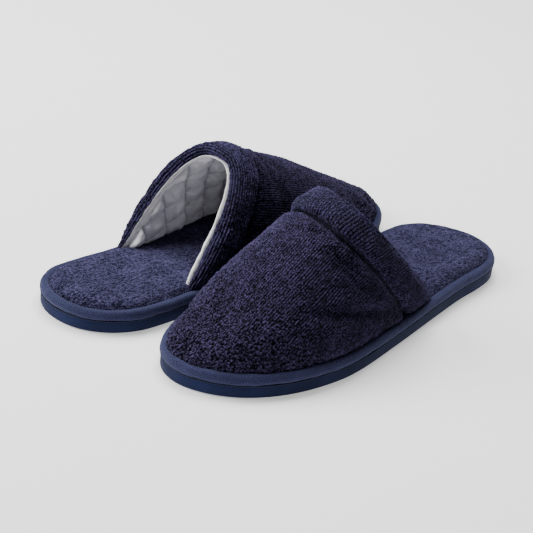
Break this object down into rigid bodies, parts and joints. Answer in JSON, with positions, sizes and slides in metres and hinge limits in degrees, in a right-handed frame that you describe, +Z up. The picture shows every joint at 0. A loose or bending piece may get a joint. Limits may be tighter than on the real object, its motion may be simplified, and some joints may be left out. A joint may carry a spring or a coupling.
{
  "type": "spa slippers",
  "caption": "Closed-toe navy terry spa slippers with a folded cuff, white quilted lining, taped edge and flat foam sole",
  "frame": {"origin": "floor point under the middle of the pair's bounding box", "axes": "+Z up; the soles lie along Y, the left slipper with its toe towards -Y on the +X side, the right slipper with its toe towards +Y on the -X side"},
  "size_m": [0.1944, 0.2816, 0.0802],
  "materials": {
    "outsole_foam": "fine-pored moulded foam, satin navy",
    "fibre_board": "matt grey fibre board",
    "white_foam": "soft white foam",
    "insole_terry": "looped navy terry",
    "binding_tape": "navy twill tape",
    "seam_cord": "dark seam cord",
    "vamp_terry": "looped navy terry",
    "wadding": "white polyester wadding",
    "quilted_lining": "white satin, diamond quilted",
    "cuff_terry": "ribbed navy terry",
    "lining_edge": "white satin edge strip",
    "seam_thread": "dark navy sewing thread"
  },
  "bodies": {
    "left_slipper": {"left_outsole": "outsole_foam", "left_insole_board": "fibre_board", "left_insole_foam": "white_foam", "left_insole_cover": "insole_terry", "left_edge_binding": "binding_tape", "left_sole_seam": "seam_cord", "left_vamp_outer": "vamp_terry", "left_vamp_wadding": "wadding", "left_vamp_lining": "quilted_lining", "left_cuff_band": "cuff_terry", "left_cuff_filler": "wadding", "left_lining_edge": "lining_edge", "left_cuff_seam": "seam_thread"},
    "right_slipper": {"right_outsole": "outsole_foam", "right_insole_board": "fibre_board", "right_insole_foam": "white_foam", "right_insole_cover": "insole_terry", "right_edge_binding": "binding_tape", "right_sole_seam": "seam_cord", "right_vamp_outer": "vamp_terry", "right_vamp_wadding": "wadding", "right_vamp_lining": "quilted_lining", "right_cuff_band": "cuff_terry", "right_cuff_filler": "wadding", "right_lining_edge": "lining_edge", "right_cuff_seam": "seam_thread"}
  },
  "joints": [
    {"name": "right_slipper_lift", "type": "slide", "parent": "left_slipper", "child": "right_slipper", "axis": [0, 0, 1], "range_m": [0, 0.15]}
  ]
}
